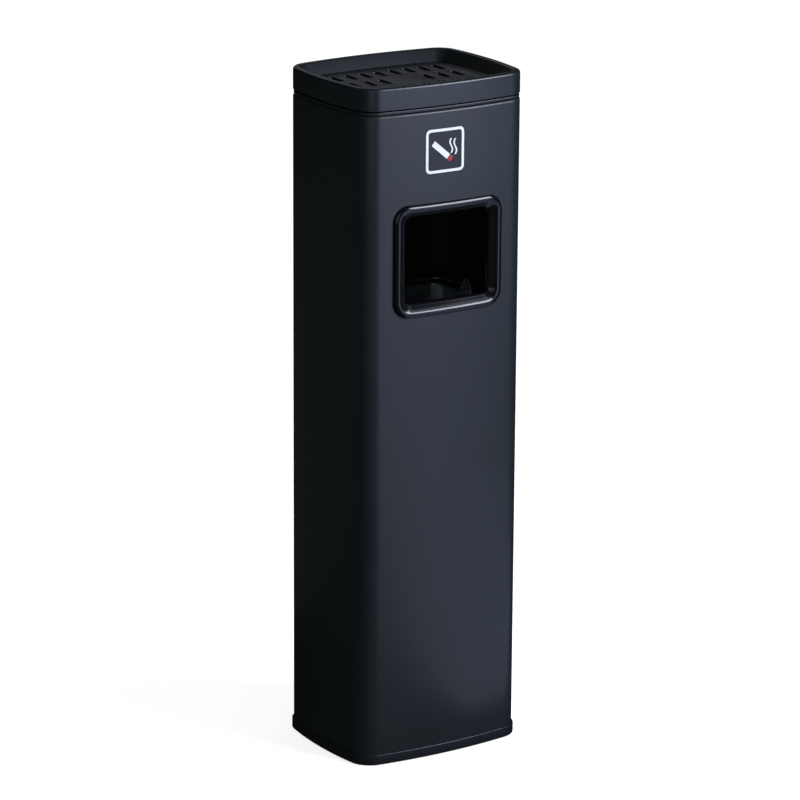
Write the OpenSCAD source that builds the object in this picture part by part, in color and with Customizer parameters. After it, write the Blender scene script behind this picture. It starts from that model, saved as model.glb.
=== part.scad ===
// Slim lobby ash bin: a bowed sheet-steel case on a moulded base ring, with a framed
// litter opening, a lift-off head that holds an ash pan and a slotted stub plate, and a
// galvanised liner pail with a wire bail inside. Millimetres, +Z up, the front faces -Y.
// The origin is the middle of the footprint on the floor.

/* [Case] */
// Width over the bowed side faces
case_w = 174; // [150:1:220]
// Depth over the bowed front and back faces
case_d = 141; // [118:1:180]
// Height from the floor to the top of the rim
total_h = 610; // [480:5:760]
// How far the front and back faces bow out past their corners
front_bulge = 7; // [3:0.5:10]
// How far the side faces bow out past their corners
side_bulge = 6; // [3:0.5:9]
// Outside radius of the four upright corners
corner_r = 20; // [19.5:0.5:26]
// Sheet thickness of the case, the head and the neck ring
sheet_t = 1; // [0.8:0.1:1.3]
// Outside radius of the rounded shoulder at the top of the case
shoulder_r = 2.6; // [1.8:0.1:3.5]
// Width of the flange that turns in round the mouth of the case
mouth_flange = 8; // [7:0.5:9]

/* [Head] */
// Height of the head's outer skirt
head_h = 19.5; // [18:0.1:30]
// Height between the head's skirt and the case, where the neck band shows
groove_h = 4.1; // [3.5:0.1:7]
// Height of the dark gap between the head's skirt and the neck band
gap_h = 1.5; // [1:0.1:2]
// How far the neck band stands back from the faces
neck_setback = 0.6; // [0.4:0.1:1.2]
// How far the neck's skirt reaches down into the mouth
neck_skirt_h = 13; // [6:0.5:20]
// Outside radius of the rim
rim_round = 2.6; // [1.8:0.1:3]
// Inside radius of the rim, where it turns down into the well
rim_inner_r = 2.4; // [1.6:0.1:3]
// Distance from the face to the centre of the rim's inside radius
rim_w = 5; // [4:0.1:6]
// Distance from the face to the foot of the sloping wall
well_inset = 14; // [12.5:0.1:14.5]
// Depth of the stub plate's top below the rim
well_depth = 10; // [8:0.5:13]
// Width of the ledge that carries the ash pan
ledge_w = 2.8; // [2.2:0.1:3]

/* [Ash pan and stub plate] */
// Depth of the ash pan below its flange
pan_depth = 36.3; // [20:0.1:50]
// Sheet thickness of the ash pan
pan_t = 0.8; // [0.6:0.1:1]
// Sheet thickness of the stub plate
plate_t = 1; // [0.8:0.1:1.2]
// Length of one slot, front to back
slot_l = 20; // [12:0.5:24]
// Width of one slot
slot_w = 5; // [3:0.5:7]
// Spacing of the slots across the plate
slot_pitch_x = 15; // [11:0.5:20]
// Spacing of the rows of slots, front to back
slot_pitch_y = 31; // [26:0.5:36]
// Clear border between the slots' centres and the plate's edge
slot_border = 12; // [8:0.5:16]

/* [Litter opening] */
// Distance from the rim's top down to the middle of the opening
opening_drop = 153.5; // [130:0.5:200]
// Clear width of the opening
opening_w = 85; // [60:1:95]
// Clear height of the opening
opening_h = 77; // [50:1:110]
// Corner radius of the clear opening
opening_r = 5.5; // [3:0.5:8]
// Width of the visible frame at each side of the opening
frame_side = 13; // [11:0.5:15]
// Width of the visible frame above and below the opening
frame_top = 11.5; // [10:0.5:15]
// Outside corner radius of the frame
frame_r = 15; // [12:0.5:18]
// How far the frame stands out from the front face
frame_proud = 3.5; // [2:0.1:5]
// Wall of the throat that passes through the sheet
throat_wall = 2.5; // [2:0.1:3]
// How far the throat reaches in behind the middle of the front face
throat_depth = 8; // [7:0.1:8.5]
// Depth of the retainer's flat back behind the middle of the front face
retainer_depth = 7; // [6:0.1:7.5]

/* [Sign] */
// Distance from the rim's top down to the middle of the sign
sign_drop = 59; // [50:0.5:75]
// Sideways place of the sign's middle
sign_x = -5.3; // [-20:0.1:20]
// Side of the square sign film
sign_size = 40; // [30:0.5:50]
// Width of the printed border line
sign_line = 2.4; // [1.5:0.1:3]

/* [Base] */
// Height of the moulded base ring's top edge
base_top = 10.3; // [9:0.1:16]
// How far the base ring stands proud of the faces
base_proud = 1.6; // [1:0.1:3]
// Gap under the base ring that the foot pads hold open
floor_gap = 1; // [0.5:0.1:2]
// Thickness of the base ring's inward lip
base_lip_t = 4; // [3.5:0.1:5]
// Width of the base ring's inward lip
base_lip_w = 16; // [14:0.5:17]
// Radius of a foot pad
pad_r = 6; // [4:0.5:6.5]

/* [Liner] */
// Clearance between the liner's rim and the mouth of the case
liner_clear = 7.2; // [5:0.1:12]
// Height of the opening's sill above the liner's rim
liner_below_sill = 18; // [12:0.5:60]
// Sheet thickness of the liner
liner_t = 0.8; // [0.6:0.1:1]
// Outside corner radius of the liner's rim
liner_r = 18; // [14:0.5:24]
// Radius of the bead rolled round the liner's rim
bead_r = 3; // [2.6:0.1:3.4]
// Radius of the bail's wire
bail_r = 1.6; // [1.4:0.1:2]
// Height of the bail's pivots above the liner's rim
pivot_rise = 6; // [5:0.1:8]

/* [Fits] */
// Gap left where one lift-out piece rests on another
seat_gap = 0.3; // [0.2:0.05:0.5]
// Sideways gap round a piece that lifts out
slide_gap = 0.4; // [0.3:0.05:0.8]
// Radial clearance of the bail's ends in their ears, and of each screw in its thread
running_gap = 0.06; // [0.02:0.01:0.1]

/* [Hidden] */
$fn = 96;

// Colours of the finishes
coat_black = [0.11, 0.12, 0.14];
gloss_black = [0.05, 0.05, 0.06];
moulded_black = [0.08, 0.08, 0.09];
zinc = [0.66, 0.68, 0.69];
film_black = [0.10, 0.11, 0.12];
print_white = [0.92, 0.92, 0.90];
print_red = [0.70, 0.10, 0.10];

// Small fixed fits
face_gap = 0.05;      // between a curved face and the piece laid on it
print_gap = 0.02;     // between the sign's layers
film_t = 0.25;
print_t = 0.15;

// The face arcs run this many degrees past their ends, and stand proud of the corners by the
// hair step, so that each joint between them has one clean edge
lap = 0.0005;
hair = 0.01;

// The case's plan: four shallow arcs, and four corner arcs that meet them smoothly
half_w = case_w / 2;
half_d = case_d / 2;
front_R = thousandths(arc_radius(half_w - side_bulge, front_bulge));
side_R = thousandths(arc_radius(half_d - front_bulge, side_bulge));
front_centre = [0, front_R - half_d];
side_centre = [half_w - side_R, 0];
corner = meeting_point(front_centre, front_R - corner_r - hair, side_centre, side_R - corner_r - hair);
front_end = atan2(corner.y - front_centre.y, corner.x - front_centre.x);
side_end = atan2(corner.y - side_centre.y, corner.x - side_centre.x);
front_start = -180 - front_end - lap;
front_span = 2 * (front_end + 90 + lap);
side_start = side_end - lap;
side_span = 2 * (lap - side_end);

function thousandths(v) = round(v * 1000) / 1000;

// Radius of an arc from half its chord and its rise
function arc_radius(half_chord, rise) = (half_chord * half_chord + rise * rise) / (2 * rise);

// The right-hand front meeting point of two circles
function meeting_point(a, ra, b, rb) =
    let (gap = norm(b - a), u = (b - a) / gap)
    let (along = (ra * ra - rb * rb + gap * gap) / (2 * gap))
    let (across = sqrt(ra * ra - along * along))
    a + along * u + across * [-u.y, u.x];

// Points along an arc, ends included
function arc(centre, r, from, to, steps = 6) =
    [for (i = [0 : steps]) let (a = from + (to - from) * i / steps) centre + r * [cos(a), sin(a)]];

// Heights, from the floor up
lip_top = floor_gap + base_lip_t;
skirt_z = total_h - head_h;
mouth_z = skirt_z - groove_h;
neck_z = mouth_z + seat_gap;
band_top = skirt_z - gap_h;
plate_top = total_h - well_depth;
plate_skirt_h = 2.6;
pan_flange_top = plate_top - plate_skirt_h - seat_gap;
ledge_z = pan_flange_top - pan_t - seat_gap;
pan_floor_z = pan_flange_top - pan_t - pan_depth;
opening_z = total_h - opening_drop;
sign_z = total_h - sign_drop;
liner_rim_z = opening_z - opening_h / 2 - liner_below_sill;
floor_t = 1.2;
liner_floor_z = lip_top + floor_t + seat_gap;

// Insets from the faces
ledge_inset = well_inset + ledge_w;
pan_inset = ledge_inset + slide_gap;
neck_inset = mouth_flange + slide_gap;

// Sweeps a profile round the case: x is the distance out from the faces, y is the height
module round_case() {
    for (turn = [0, 180]) rotate(turn) {
        translate(front_centre) rotate_extrude(angle = front_span, start = front_start)
            translate([front_R, 0]) children();
        translate(side_centre) rotate_extrude(angle = side_span, start = side_start)
            translate([side_R, 0]) children();
        for (side = [0, 1]) mirror([side, 0, 0])
            translate(corner) rotate_extrude(angle = side_end - front_end, start = front_end)
                translate([corner_r, 0]) children();
    }
}

// A flat plate with the case's plan, its edge set in from the faces; a ring swept round it
// with the same height takes in its edge
module case_plate(inset, low, high) {
    overlap = 1.2 * max(front_bulge, side_bulge);
    translate([0, 0, low]) linear_extrude(high - low)
        polygon([corner, [corner.x, -corner.y], -corner, [-corner.x, corner.y]]);
    for (turn = [0, 180]) rotate(turn) {
        translate(front_centre) rotate_extrude(angle = front_span, start = front_start)
            translate([front_R - corner_r - overlap, low]) square([corner_r + overlap - inset, high - low]);
        translate(side_centre) rotate_extrude(angle = side_span, start = side_start)
            translate([side_R - corner_r - overlap, low]) square([corner_r + overlap - inset, high - low]);
        for (side = [0, 1]) mirror([side, 0, 0])
            translate(corner) rotate_extrude(angle = side_end - front_end, start = front_end)
                translate([0, low]) square([corner_r - inset, high - low]);
    }
}

// Sweeps a profile round a plain rectangle with round corners: x is the distance out from its edge
module round_box(w, d, r) {
    for (turn = [0, 180]) rotate(turn) {
        translate([w / 2 - r, 0, 0]) rotate([90, 0, 0]) linear_extrude(d - 2 * r, center = true)
            translate([r, 0]) children();
        translate([0, d / 2 - r, 0]) rotate([90, 0, 90]) linear_extrude(w - 2 * r, center = true)
            translate([r, 0]) children();
        for (side = [0, 1]) mirror([side, 0, 0])
            translate([w / 2 - r, d / 2 - r, 0]) rotate_extrude(angle = 90) translate([r, 0]) children();
    }
}

// A solid block with a plan of a plain rectangle with round corners
module box_block(w, d, r, low, high) {
    translate([0, 0, (low + high) / 2]) {
        cube([w - 2 * r, d, high - low], center = true);
        cube([w, d - 2 * r, high - low], center = true);
    }
    for (turn = [0, 180]) rotate(turn) for (side = [0, 1]) mirror([side, 0, 0])
        translate([w / 2 - r, d / 2 - r, low]) rotate_extrude(angle = 90) square([r, high - low]);
}

// Turns a shape drawn flat so that it faces front, with its height at z
module facing(z) {
    translate([0, 0, z]) rotate([90, 0, 0]) children();
}

// The space between two depths behind the bowed front face; below 0 is in front of it
module behind_front(near, far) {
    translate([front_centre.x, front_centre.y, 0]) difference() {
        cylinder(r = front_R - near, h = total_h, $fn = 720);
        translate([0, 0, -1]) cylinder(r = front_R - far, h = total_h + 2, $fn = 720);
    }
}

// ---- Case ----

// Drawn steel tube with a rounded shoulder, a flange round the mouth and the litter cut-out
cut_w = opening_w + 2 * throat_wall + 2 * slide_gap;
cut_h = opening_h + 2 * throat_wall + 2 * slide_gap;
cut_r = opening_r + throat_wall + slide_gap;

module case_shell() {
    bend = [-shoulder_r, mouth_z - shoulder_r];
    color(coat_black) difference() {
        round_case() polygon(concat(
            [[0, lip_top]],
            arc(bend, shoulder_r, 0, 90),
            [[-mouth_flange, mouth_z], [-mouth_flange, mouth_z - sheet_t]],
            arc(bend, shoulder_r - sheet_t, 90, 0),
            [[-sheet_t, lip_top]]));
        facing(opening_z) box_block(cut_w, cut_h, cut_r, half_d / 2, case_d);
        frame_screw_holes(frame_screw_r + 0.3);
    }
}

// Moulded ring that the case stands in, with a lip under the case's edge
module base_ring() {
    chamfer = 0.8;
    color(moulded_black) difference() {
        round_case() polygon([
            [-base_lip_w, floor_gap], [base_proud, floor_gap],
            [base_proud, base_top - chamfer], [base_proud - chamfer, base_top],
            [0.2, base_top], [0.2, lip_top], [-base_lip_w, lip_top]]);
        for (p = pad_places) translate([p.x, p.y, floor_gap - 1]) cylinder(r = pad_r + 0.2, h = pad_sunk + 1);
        for (p = base_screw_places) translate([p.x, p.y, floor_gap - 1]) {
            cylinder(r = base_head_r + 0.5, h = base_head_sunk + 1);
            cylinder(r = base_screw_r + 0.3, h = base_lip_t + 2);
        }
    }
}

// Pressed steel floor with a flange turned up inside the case
module bottom_plate() {
    edge = sheet_t + 0.2;
    flange_h = 12;
    color(coat_black) difference() {
        union() {
            case_plate(edge + floor_t / 2, lip_top, lip_top + floor_t);
            round_case() polygon([
                [-edge - floor_t, lip_top], [-edge, lip_top],
                [-edge, lip_top + flange_h], [-edge - floor_t, lip_top + flange_h]]);
        }
        for (p = base_screw_places) translate([p.x, p.y, lip_top - 1])
            cylinder(r = base_screw_r + running_gap, h = floor_t + 2);
    }
}

// Four screws up through the base ring's lip into the bottom plate
base_screw_r = 1.75;
base_head_r = 3.5;
base_head_sunk = 2.4;
base_screw_inset = 8.5;
base_screw_places = [
    [half_w - base_screw_inset, 0], [base_screw_inset - half_w, 0],
    [0, half_d - base_screw_inset], [0, base_screw_inset - half_d]];

module base_screws() {
    head_h = 2.2;
    tip = 2.3;
    seat = floor_gap + base_head_sunk;
    color(zinc) for (p = base_screw_places) translate([p.x, p.y, 0]) {
        translate([0, 0, seat - head_h]) cylinder(r = base_head_r, h = head_h);
        translate([0, 0, seat]) cylinder(r = base_screw_r, h = lip_top + floor_t + tip - seat);
    }
}

// Rubber pads pressed into the base ring's underside, one near each corner
pad_sunk = 1.5;
pad_inset = 8.5;
pad_reach = (corner_r - pad_inset) / sqrt(2);
pad_x = corner.x + pad_reach;
pad_y = -corner.y + pad_reach;
pad_places = [[-pad_x, -pad_y], [pad_x, -pad_y], [-pad_x, pad_y], [pad_x, pad_y]];

module foot_pad(place) {
    color(moulded_black) translate([place.x, place.y, 0]) cylinder(r = pad_r, h = floor_gap + pad_sunk);
}

// ---- Litter opening ----

frame_w = opening_w + 2 * frame_side;
frame_h = opening_h + 2 * frame_top;
frame_screw_r = 1.45;
frame_screw_bite = 2;
frame_screw_x = opening_w / 2 + 5;
frame_screw_z = opening_h / 2 + 3;
frame_screw_places = [for (x = [-1, 1], z = [-1, 1]) [x * frame_screw_x, z * frame_screw_z]];
// Depth of the front face behind its middle, where the screws are
frame_screw_fall = front_R - sqrt(front_R * front_R - frame_screw_x * frame_screw_x);
frame_screw_tip = half_d - frame_screw_fall + frame_screw_bite;
retainer_back = half_d - retainer_depth;

module frame_screw_holes(r) {
    facing(opening_z) for (p = frame_screw_places) translate([p.x, p.y, half_d / 2])
        cylinder(r = r, h = frame_screw_tip - half_d / 2 + 0.2);
}

// Glossy moulded frame: a proud lip on the front face and a throat through the sheet
module opening_frame() {
    throat_w = opening_w + 2 * throat_wall;
    throat_h = opening_h + 2 * throat_wall;
    color(gloss_black) difference() {
        union() {
            intersection() {
                facing(opening_z) box_block(frame_w, frame_h, frame_r, half_d / 2, case_d);
                behind_front(-frame_proud, -face_gap);
            }
            difference() {
                facing(opening_z)
                    box_block(throat_w, throat_h, opening_r + throat_wall, half_d - throat_depth, half_d + frame_proud);
                behind_front(-frame_proud - 10, -2 * face_gap);
            }
        }
        facing(opening_z) box_block(opening_w, opening_h, opening_r, 0, case_d);
        frame_screw_holes(frame_screw_r + running_gap);
    }
}

// Clamp frame inside the case, flat at the back, that pinches the sheet against the lip
module frame_retainer() {
    rim = 1.5;
    color(moulded_black) difference() {
        facing(opening_z) box_block(frame_w - 2 * rim, frame_h - 2 * rim, frame_r - rim, retainer_back, case_d);
        facing(opening_z) box_block(cut_w, cut_h, cut_r, 0, case_d + 1);
        behind_front(-case_d, sheet_t + face_gap);
        frame_screw_holes(frame_screw_r + 0.25);
    }
}

// Four screws from inside, through the retainer and the sheet into the lip
module frame_screws() {
    head_r = 2.8;
    head_h = 1.8;
    color(zinc) facing(opening_z) for (p = frame_screw_places) translate([p.x, p.y, 0]) {
        translate([0, 0, retainer_back - head_h]) cylinder(r = head_r, h = head_h);
        translate([0, 0, retainer_back]) cylinder(r = frame_screw_r, h = frame_screw_tip - retainer_back);
    }
}

// ---- Sign ----

// Lays a flat figure on the front face as a thin layer
module laid_on_front(x, z, from, thickness) {
    intersection() {
        translate([x, 0, 0]) facing(z) linear_extrude(case_d) children();
        behind_front(-from - thickness, -from);
    }
}

// A square with round corners, and the same as an open border
module rounded_square(side, r) {
    polygon([for (turn = [0 : 90 : 270]) each
        arc((side / 2 - r) * [cos(turn) - sin(turn), sin(turn) + cos(turn)], r, turn, turn + 90)]);
}

module sign_film() {
    color(film_black) laid_on_front(sign_x, sign_z, print_gap, film_t) rounded_square(sign_size, 5);
}

// The cigarette lies aslant, lit end down, drawn along its own axis
sign_slant = -40;
cigarette_l = 20;
cigarette_w = 5;
ember_l = 3.4;
cigarette_from = [-12, 7];

module along_cigarette(from, length) {
    translate(cigarette_from) rotate(sign_slant) translate([from, -cigarette_w / 2]) square([length, cigarette_w]);
}

// One curl of smoke: a band that weaves as it rises
module smoke_curl(at, rise, sway, width) {
    steps = 14;
    weave = function (t) at + [sway * sin(360 * t), rise * t];
    polygon(concat(
        [for (i = [0 : steps]) weave(i / steps) - [width / 2, 0]],
        [for (i = [steps : -1 : 0]) weave(i / steps) + [width / 2, 0]]));
}

module sign_print_white() {
    margin = 0.8;
    outer = sign_size - 2 * margin;
    color(print_white) laid_on_front(sign_x, sign_z, 2 * print_gap + film_t, print_t) {
        difference() {
            rounded_square(outer, 4.4);
            rounded_square(outer - 2 * sign_line, 2.4);
        }
        along_cigarette(0, cigarette_l);
        smoke_curl([6, -3], 13, 1.3, 1.5);
        smoke_curl([10.2, -4.5], 14, 1.3, 1.5);
    }
}

module sign_print_red() {
    color(print_red) laid_on_front(sign_x, sign_z, 2 * print_gap + film_t, print_t)
        along_cigarette(cigarette_l + 0.8, ember_l);
}

// ---- Head ----

// Slope of the wall that runs from the rim's inside radius down to the plate
slope_run = [well_inset - rim_w, well_depth - rim_inner_r];
slope = atan2(slope_run.y, slope_run.x) + asin(rim_inner_r / norm(slope_run));

// One side of the head's sheet, t below the outer side: skirt, rim, slope, well and ledge
function head_side(t) =
    let (down = -t * cos(slope) + t * (1 - sin(slope)) * tan(slope))
    concat(
        [[-t, skirt_z]],
        arc([-rim_round, total_h - rim_round], rim_round - t, 0, 90),
        arc([-rim_w, total_h - rim_inner_r], rim_inner_r - t, 90, 90 + slope),
        [[t - well_inset, plate_top + down], [t - well_inset, ledge_z - t], [-ledge_inset, ledge_z - t]]);

function reversed(list) = [for (i = [len(list) - 1 : -1 : 0]) list[i]];

// Pressed steel cap: outer skirt, rolled rim, sloping well and the ledge for the ash pan
module head_shell() {
    color(coat_black) round_case() polygon(concat(head_side(0), reversed(head_side(sheet_t))));
}

// Ring under the head: a wall that drops from the ledge into the mouth, and a band round it that
// shows below the head's skirt and rests on the mouth
module neck_ring() {
    ledge_under = ledge_z - sheet_t;
    skirt_low = mouth_z - neck_skirt_h;
    color(coat_black) round_case() polygon([
        [-neck_inset, ledge_under], [-neck_inset, band_top], [-neck_setback, band_top],
        [-neck_setback, neck_z], [-neck_inset, neck_z], [-neck_inset, skirt_low],
        [-neck_inset - sheet_t, skirt_low], [-neck_inset - sheet_t, ledge_under - sheet_t],
        [-ledge_inset, ledge_under - sheet_t], [-ledge_inset, ledge_under]]);
}

// Ash pan that hangs by its flange on the head's ledge
module ash_pan() {
    flange_inset = well_inset + slide_gap;
    color(coat_black) {
        round_case() polygon([
            [-flange_inset, pan_flange_top], [-flange_inset, pan_flange_top - pan_t],
            [-pan_inset, pan_flange_top - pan_t], [-pan_inset, pan_floor_z],
            [-pan_inset - pan_t, pan_floor_z], [-pan_inset - pan_t, pan_flange_top]]);
        case_plate(pan_inset + pan_t / 2, pan_floor_z, pan_floor_z + pan_t);
    }
}

// Slotted plate that covers the ash pan and stands on its flange by a turned-down edge
plate_inset = well_inset + slide_gap + 0.2;
slot_columns = 2 * floor((half_w - plate_inset - slot_border) / slot_pitch_x);
slot_side_rows = floor((half_d - plate_inset - slot_border - slot_l / 4) / slot_pitch_y);

module slot() {
    straight = slot_l - slot_w;
    translate([0, 0, plate_top - plate_t - 1]) {
        translate([-slot_w / 2, -straight / 2, 0]) cube([slot_w, straight, plate_t + 2]);
        for (end = [-1, 1]) translate([0, end * straight / 2, 0]) cylinder(d = slot_w, h = plate_t + 2);
    }
}

module stub_plate() {
    low = plate_top - plate_skirt_h;
    color(coat_black) difference() {
        union() {
            case_plate(plate_inset + plate_t / 2, plate_top - plate_t, plate_top);
            round_case() polygon([
                [-plate_inset, plate_top], [-plate_inset, low],
                [-plate_inset - plate_t, low], [-plate_inset - plate_t, plate_top]]);
        }
        for (row = [-slot_side_rows : slot_side_rows]) for (column = [0 : slot_columns - 1])
            let (x = column - (slot_columns - 1) / 2)
            // The middle of the middle row is left plain, for a thumb
            if (row != 0 || abs(x) > 1) translate([x * slot_pitch_x, row * slot_pitch_y, 0]) slot();
    }
}

// ---- Liner ----

liner_w = case_w - 2 * (mouth_flange + liner_clear);
liner_d = case_d - 2 * (mouth_flange + liner_clear);
bead_z = liner_rim_z - bead_r;
wall_in = 2 * bead_r;
wall_out = wall_in - liner_t;

// Folded zinc-coated wall, its top edge curled out round the rim wire
module liner_shell() {
    curl_end = -110;
    centre = [-bead_r, bead_z];
    low = liner_floor_z + liner_t;
    color(zinc) difference() {
        round_box(liner_w, liner_d, liner_r) polygon(concat(
            [[-wall_in, low]],
            arc(centre, bead_r, 180, curl_end, 16),
            arc(centre, bead_r - liner_t, curl_end, 180, 16),
            [[-wall_out, low]]));
        rivet_places() cylinder(r = rivet_r + running_gap, h = 20, center = true);
    }
}

// Steel wire inside the curled rim
module liner_rim_wire() {
    color(zinc) round_box(liner_w, liner_d, liner_r) translate([-bead_r, bead_z])
        circle(r = bead_r - liner_t - 0.2);
}

// Flanged floor seamed into the foot of the wall
module liner_base() {
    flange_h = 10;
    flange_out = wall_in + 0.1;
    color(zinc) {
        box_block(liner_w - 2 * wall_out, liner_d - 2 * wall_out, liner_r - wall_out,
            liner_floor_z, liner_floor_z + liner_t);
        round_box(liner_w, liner_d, liner_r) polygon([
            [-flange_out - liner_t, liner_floor_z], [-flange_out, liner_floor_z],
            [-flange_out, liner_floor_z + flange_h], [-flange_out - liner_t, liner_floor_z + flange_h]]);
    }
}

// Ears riveted inside the side walls, with a hole above the rim for the bail
ear_t = 1.5;
ear_w = 20;
ear_top_r = 7;
ear_drop = 24;
ear_face = liner_w / 2 - wall_in;
pivot_z = liner_rim_z + pivot_rise;
rivet_r = 2;
rivet_y = 5;
rivet_drop = 14;

module bail_ear(side) {
    shoulder = pivot_z - ear_top_r + 1;
    color(zinc) difference() {
        translate([side > 0 ? ear_face - ear_t : -ear_face, 0, 0])
            rotate([90, 0, 90]) linear_extrude(ear_t) polygon(concat(
                [[-ear_w / 2, liner_rim_z - ear_drop], [ear_w / 2, liner_rim_z - ear_drop], [ear_w / 2, shoulder]],
                arc([0, pivot_z], ear_top_r, 0, 180, 12),
                [[-ear_w / 2, shoulder]]));
        translate([0, 0, pivot_z]) rotate([0, 90, 0]) cylinder(r = bail_r + running_gap, h = case_w, center = true);
        rivet_places() cylinder(r = rivet_r + running_gap, h = 20, center = true);
    }
}

// The places of the ears' rivets, with each rivet's axis along z
module rivet_places() {
    for (side = [-1, 1]) for (y = [-rivet_y, rivet_y])
        translate([side * ear_face, y, liner_rim_z - rivet_drop]) rotate([0, side * 90, 0]) children();
}

// Domed rivets, two to an ear, with their clenched ends outside the wall
module ear_rivets() {
    head_r = 3.4;
    head_h = 1.3;
    clench_r = 3;
    clench_h = 1;
    color(zinc) rivet_places() {
        translate([0, 0, -ear_t - head_h]) cylinder(r1 = head_r - 0.8, r2 = head_r, h = head_h);
        translate([0, 0, -ear_t]) cylinder(r = rivet_r, h = ear_t + liner_t);
        translate([0, 0, liner_t]) cylinder(r1 = clench_r, r2 = clench_r - 0.6, h = clench_h);
    }
}

// Wire bail, folded back so that its bar lies on the liner's back rim
bail_x = ear_face + bail_r + 2;
bail_bar_y = liner_d / 2 - bead_r + 1;
bail_rest_z = liner_rim_z + bail_r + seat_gap;
bail_bend = 10;
bail_reach = norm([bail_bar_y, pivot_z - bail_rest_z]);
bail_droop = asin((pivot_z - bail_rest_z) / bail_reach);

module liner_bail() {
    inner_end = ear_face - ear_t - 3.5;
    stub = 1.2;
    color(zinc) translate([0, 0, pivot_z]) rotate([-bail_droop, 0, 0]) {
        for (side = [0, 1]) mirror([side, 0, 0]) {
            translate([inner_end, 0, 0]) rotate([0, 90, 0]) cylinder(r = bail_r, h = bail_x - inner_end);
            translate([inner_end - stub, 0, 0]) rotate([0, 90, 0]) cylinder(r = bail_r + 0.9, h = stub);
            translate([bail_x, 0, 0]) sphere(r = bail_r);
            translate([bail_x, 0, 0]) rotate([-90, 0, 0]) cylinder(r = bail_r, h = bail_reach - bail_bend);
            translate([bail_x - bail_bend, bail_reach - bail_bend, 0])
                rotate_extrude(angle = 90) translate([bail_bend, 0]) circle(r = bail_r);
        }
        translate([bail_bend - bail_x, bail_reach, 0]) rotate([0, 90, 0])
            cylinder(r = bail_r, h = 2 * (bail_x - bail_bend));
    }
}

case_shell();
base_ring();
bottom_plate();
base_screws();
foot_pad(pad_places[0]);  // foot_pad_front_left
foot_pad(pad_places[1]);  // foot_pad_front_right
foot_pad(pad_places[2]);  // foot_pad_back_left
foot_pad(pad_places[3]);  // foot_pad_back_right
opening_frame();
frame_retainer();
frame_screws();
sign_film();
sign_print_white();
sign_print_red();
head_shell();
neck_ring();
ash_pan();
stub_plate();
liner_shell();
liner_rim_wire();
liner_base();
bail_ear(-1);  // bail_ear_left
bail_ear(1);  // bail_ear_right
ear_rivets();
liner_bail();
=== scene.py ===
# A slim lobby ash bin, put together from its base up. Metres, +Z up, the litter opening faces -Y.
import math

import bmesh
import bpy
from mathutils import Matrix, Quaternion, Vector


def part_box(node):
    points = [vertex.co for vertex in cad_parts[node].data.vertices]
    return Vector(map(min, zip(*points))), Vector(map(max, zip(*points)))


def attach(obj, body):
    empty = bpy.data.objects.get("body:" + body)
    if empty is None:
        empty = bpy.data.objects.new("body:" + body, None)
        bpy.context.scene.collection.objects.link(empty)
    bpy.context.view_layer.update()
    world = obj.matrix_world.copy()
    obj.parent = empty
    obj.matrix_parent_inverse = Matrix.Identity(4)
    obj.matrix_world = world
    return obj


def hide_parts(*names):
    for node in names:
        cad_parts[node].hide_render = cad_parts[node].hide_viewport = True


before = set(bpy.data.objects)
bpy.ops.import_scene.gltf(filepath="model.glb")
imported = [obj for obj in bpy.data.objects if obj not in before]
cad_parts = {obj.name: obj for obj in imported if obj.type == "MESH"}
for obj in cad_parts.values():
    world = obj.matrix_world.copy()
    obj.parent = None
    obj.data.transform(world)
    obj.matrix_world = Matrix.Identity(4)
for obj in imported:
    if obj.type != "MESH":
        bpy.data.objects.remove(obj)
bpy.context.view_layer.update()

# ---- Case ----
# The case is one drawn sheet of 1 mm steel with bowed faces and a rounded shoulder, powder
# coated satin black. A flange turns in round its mouth, and the litter opening is cut in its front.
MM = 0.001
sheet = 1.0 * MM
corner_r = 20.0 * MM
front_bulge = 7.0 * MM
side_bulge = 6.0 * MM
half_w = 87.0 * MM
half_d = 70.5 * MM
case_low, case_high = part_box("case_shell")
lip_top = case_low.z
mouth_z = case_high.z
shoulder_r = 2.6 * MM
mouth_flange = 8.0 * MM
frame_low, frame_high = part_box("opening_frame")
opening_z = (frame_low.z + frame_high.z) / 2


def bow_radius(half_chord, rise):
    """The radius of a face's bow, from half its chord and its rise."""
    return (half_chord ** 2 + rise ** 2) / (2 * rise)


front_bow = bow_radius(half_w - side_bulge, front_bulge)
side_bow = bow_radius(half_d - front_bulge, side_bulge)


def corner_place():
    """The middle of the front right corner's rounding, where it meets both bowed faces smoothly."""
    a, ra = Vector((0, front_bow - half_d)), front_bow - corner_r
    b, rb = Vector((half_w - side_bow, 0)), side_bow - corner_r
    gap = (b - a).length
    along = (ra ** 2 - rb ** 2 + gap ** 2) / (2 * gap)
    across = math.sqrt(ra ** 2 - along ** 2)
    u = (b - a) / gap
    return a + u * along + Vector((-u.y, u.x)) * across


corner = corner_place()


def arc(centre, r, start, end, steps):
    """Points on an arc, both ends included; angles in degrees."""
    turns = [math.radians(start + (end - start) * i / steps) for i in range(steps + 1)]
    return [Vector((centre[0] + r * math.cos(t), centre[1] + r * math.sin(t))) for t in turns]


def case_plan(inset=0.0, face_steps=40, corner_steps=16):
    """The case's outline seen from above, anticlockwise, set in from the faces."""
    front_mid, side_mid = Vector((0, front_bow - half_d)), Vector((half_w - side_bow, 0))
    front_end = math.degrees(math.atan2(*(corner - front_mid).yx))
    side_end = math.degrees(math.atan2(*(corner - side_mid).yx))
    front = arc(front_mid, front_bow - inset, -180 - front_end, front_end, face_steps)
    turn = arc(corner, corner_r - inset, front_end, side_end, corner_steps)
    side = arc(side_mid, side_bow - inset, side_end, -side_end, face_steps)
    back_turn = [Vector((p.x, -p.y)) for p in reversed(turn)]
    half = front[:-1] + turn[:-1] + side[:-1] + back_turn[:-1]
    return half + [-p for p in half]


def linked(name, data):
    """A new object in the scene that holds the data."""
    made = bpy.data.objects.new(name, data)
    bpy.context.scene.collection.objects.link(made)
    return made


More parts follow.
